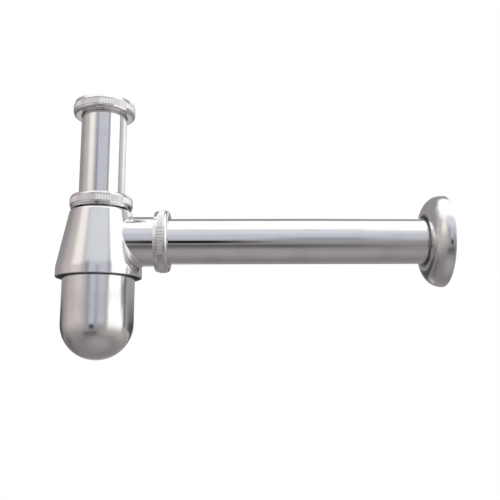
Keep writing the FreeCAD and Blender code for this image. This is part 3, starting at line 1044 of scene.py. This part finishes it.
# %% List of the panels
PANELS = [
    # what it is, azimuth from and to and its soft edge, elevation from and to and its soft edge, colour
    ("dim patch low behind", -150, -95, 40, -70, -10, 40, (0.15, 0.138, 0.14)),
    ("light patch low on the right", 30, 125, 50, -60, -8, 40, (0.46, 0.42, 0.405)),
    ("dim patch low in front", -36, 14, 24, -46, -25, 14, (0.10, 0.095, 0.10)),
    ("light patch low far behind", -176, -160, 7, -26, -17, 6, (0.55, 0.52, 0.51)),
    ("grey all round", -180, 180, 0, -9, 91, 30, (0.32, 0.30, 0.305)),
    ("warm panel on the left", -98, -26, 46, -14, 60, 34, (0.57, 0.515, 0.495)),
    ("glow on that panel", -66, -35, 22, 11, 60, 22, (1.0, 0.935, 0.88)),
    ("dark band behind on the left", -178, -124, 24, -10, 5.2, 1.6, (0.08, 0.074, 0.077)),
    ("lighter grey above", -180, 180, 0, 42, 91, 22, (0.60, 0.60, 0.61)),
    ("high light on the left", -90, -12, 20, 42, 70, 12, (1.05, 1.05, 1.05)),
    ("cool grey panel in front", -25, 40, 16, -3, 60, 26, (0.575, 0.582, 0.645)),
    ("dark strip on it", -25, -14, 9, -20, 30, 24, (0.33, 0.33, 0.36)),
    ("dark patch low on it", 3, 12, 8, -12, 9, 12, (0.33, 0.335, 0.355)),
    ("lighter top of it", -30, 40, 18, 27, 70, 24, (0.74, 0.755, 0.785)),
    ("bright panel on the right", 44, 98, 8, -14, 70, 26, (1.25, 1.23, 1.19)),
    ("bright panel high in front", 17, 50, 13, 43, 70, 14, (1.2, 1.2, 1.2)),
    ("dark edge of the bright panel", 34, 41, 6, -14, 26, 16, (0.40, 0.40, 0.42)),
    ("light panel behind on the right", 105, 168, 12, 12, 42, 12, (0.60, 0.58, 0.575)),
    ("bright middle of it", 128, 168, 12, 13, 38, 10, (1.0, 0.99, 0.98)),
    ("grey band below it", 104, 165, 8, -2, 12, 8, (0.38, 0.365, 0.37)),
    ("lighter band under that", 104, 165, 8, -18, -2, 10, (0.42, 0.40, 0.395)),
    ("dark gap beside the bright panel", 102, 108, 3, -8, 14, 6, (0.06, 0.052, 0.05)),
    ("dark band behind on the right", 122, 178, 24, -10, 4.8, 1.6, (0.08, 0.074, 0.075)),
    ("bright top", -180, 180, 0, 54, 91, 12, (1.22, 1.22, 1.22)),
    ("dark panel high behind on the left", -190, -120, 20, 36, 62, 12, (0.30, 0.30, 0.31)),
    ("dark panel high behind on the right", 120, 190, 20, 40, 62, 12, (0.30, 0.30, 0.31)),
    ("dark slot low in front", -12.5, 1, 9, -18.5, -5.5, 6, (0.008, 0.008, 0.008)),
]
print(len(PANELS), "panels, from the", PANELS[0][0], "to the", PANELS[-1][0])

# %% [markdown]
# The panels go on in the order of the list, as a painter would lay them: each covers what lies under it,
# as far as its mask reaches. A panel with no soft edge in azimuth runs all the way round.

# %% Paint the sky
WHITE = (1.0, 1.0, 1.0, 1)
FLOOR_GLOW = (0.31, 0.288, 0.285, 1)


def panel_mask(angle, low, high, soft):
    """1 between two angles and 0 outside, with a smooth step as wide as the soft edge at each."""
    half = soft / 2
    return angle.between(low - half, low + half) * (1 - angle.between(high - half, high + half))


world = bpy.data.worlds.new("studio")
bpy.context.scene.world = world
world.use_nodes = True
sky = graph(world.node_tree)
direction = sky.node("ShaderNodeTexCoord", None, None, "Generated")
parts = [sky.node("ShaderNodeSeparateXYZ", None, {"Vector": direction}, axis) for axis in (X, Y, Z)]
degrees = 180 / math.pi
azimuth = sky.math("ARCTAN2", parts[X], parts[Y] * -1) * degrees
elevation = sky.math("ARCSINE", parts[Z]) * degrees
light = FLOOR_GLOW
for what, az_from, az_to, az_soft, el_from, el_to, el_soft, colour in PANELS:
    mask = panel_mask(elevation, el_from, el_to, el_soft)
    if az_soft:
        mask = mask * panel_mask(azimuth, az_from, az_to, az_soft)
    light = mask.mixed(light, (*colour, 1))
studio = sky.node("ShaderNodeBackground", None, {"Color": light, "Strength": 1.0})
plain = sky.node("ShaderNodeBackground", None, {"Color": WHITE, "Strength": 1.0})
seen = sky.node("ShaderNodeLightPath", None, None, "Is Camera Ray")
shown = sky.node("ShaderNodeMixShader", None, {0: seen, 1: studio, 2: plain})
sky.node("ShaderNodeOutputWorld", None, {"Surface": shown})
print("the sky is a graph of", len(world.node_tree.nodes), "nodes")

# %% [markdown]
# ## Floor
# The trap hangs in the air, as it would under a basin, so the floor lies well below. It shows in the
# underside of every tube, as a warm grey with a painted pool of light before the outlet, where its colour is
# lighter. Its rim fades out, because a hard edge would show as a line in the chrome. To the camera it is as
# white as the background.

# %% Lay the floor
FLOOR_DOWN = 0.9
FLOOR_R = 1.6
# Painted light on the floor: a lit and a dim tone of the paper, the lit one in a pool before the outlet.
FLOOR_DIM = (0.30, 0.278, 0.273, 1)
FLOOR_LIT = (0.46, 0.43, 0.42, 1)
LIGHT_POOL_PLACE = (0.15, -0.32)
LIGHT_POOL_EDGE = (0.0, 0.75)
LIGHT_POOL_WANDER = 0.2
PATCHES_A_METRE = 3
FLOOR_RIM = (0.5, 1.5)
FLOOR_SIDES = 96

turn = np.arange(FLOOR_SIDES) * 2 * math.pi / FLOOR_SIDES
edge = np.stack([FLOOR_R * np.cos(turn), FLOOR_R * np.sin(turn), 0 * turn - FLOOR_DOWN], axis=-1)
floor_mesh = bpy.data.meshes.new("studio_floor")
floor_mesh.from_pydata(edge.tolist(), [], [list(range(FLOOR_SIDES))])
floor = bpy.data.objects.new("studio_floor", floor_mesh)
bpy.context.scene.collection.objects.link(floor)
floor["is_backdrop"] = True

floor_finish = bpy.data.materials.new("floor_paper")
floor_finish.use_nodes = True
start = graph(floor_finish.node_tree)
place = start.node("ShaderNodeTexCoord", None, None, "Object")
across = start.node("ShaderNodeSeparateXYZ", None, {"Vector": place}, X)
deep = start.node("ShaderNodeSeparateXYZ", None, {"Vector": place}, Y)
patches = noise(start, place, PATCHES_A_METRE, detail=2)
# Painted pool of light: the floor's colour is lit near this place and dims away from it, with a wandering
# edge.
from_light_pool = distance(across - LIGHT_POOL_PLACE[X], deep - LIGHT_POOL_PLACE[Y]) + LIGHT_POOL_WANDER * (patches - 0.5)
colour = from_light_pool.between(*LIGHT_POOL_EDGE).mixed(FLOOR_LIT, FLOOR_DIM)
paper = start.node("ShaderNodeBsdfDiffuse", None, {"Color": colour})
blank = start.node("ShaderNodeEmission", None, {"Color": WHITE, "Strength": 1.0})
seen = start.node("ShaderNodeLightPath", None, None, "Is Camera Ray")
shown = start.node("ShaderNodeMixShader", None, {0: seen, 1: paper, 2: blank})
nothing = start.node("ShaderNodeBsdfTransparent")
rim = distance(across, deep).between(*FLOOR_RIM)
faded = start.node("ShaderNodeMixShader", None, {0: rim, 1: shown, 2: nothing})
start.node("ShaderNodeOutputMaterial", None, {"Surface": faded})
paint(floor, floor_finish)
print(f"floor {FLOOR_DOWN} m below the inlet, {2 * FLOOR_R} m across")

# %% [markdown]
# ## Camera
# The picture was taken from a little below the bowl, close by, looking up at the trap. Place, turn and
# lens were worked out from the outlines of the round pieces. The view transform stays Standard, so that a
# colour comes out as it was mixed.

# %% Place the camera
CAMERA_PLACE = Vector((0.098845, -0.447578, -0.187740))
CAMERA_YAW = math.radians(-0.844)
CAMERA_PITCH = math.radians(10.159)
CAMERA_ROLL = math.radians(-0.276)
CAMERA_LENS = 46.49
CAMERA_SENSOR = 36.0

aim = Matrix.Rotation(CAMERA_YAW, 3, "Z") @ Matrix.Rotation(math.pi / 2 + CAMERA_PITCH, 3, "X")
aim = aim @ Matrix.Rotation(CAMERA_ROLL, 3, "Z")
camera_data = bpy.data.cameras.new("camera")
camera_data.lens = CAMERA_LENS
camera_data.sensor_width = CAMERA_SENSOR
camera = bpy.data.objects.new("camera", camera_data)
camera.matrix_world = Matrix.Translation(CAMERA_PLACE) @ aim.to_4x4()
bpy.context.scene.collection.objects.link(camera)
bpy.context.scene.camera = camera
bpy.context.scene.view_settings.view_transform = "Standard"
print("camera looks along", tuple(round(v, 3) for v in aim @ Vector((0, 0, -1))))

# %% [markdown]
# ## Boxes
# Both boxes are printed: the CAD model's and the skins'.

# %% Print the boxes
boxes = {"cad": cad_box, "visual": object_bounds()}
for name, box in boxes.items():
    print(name, [tuple(round(v / MM, 2) for v in corner) for corner in box])
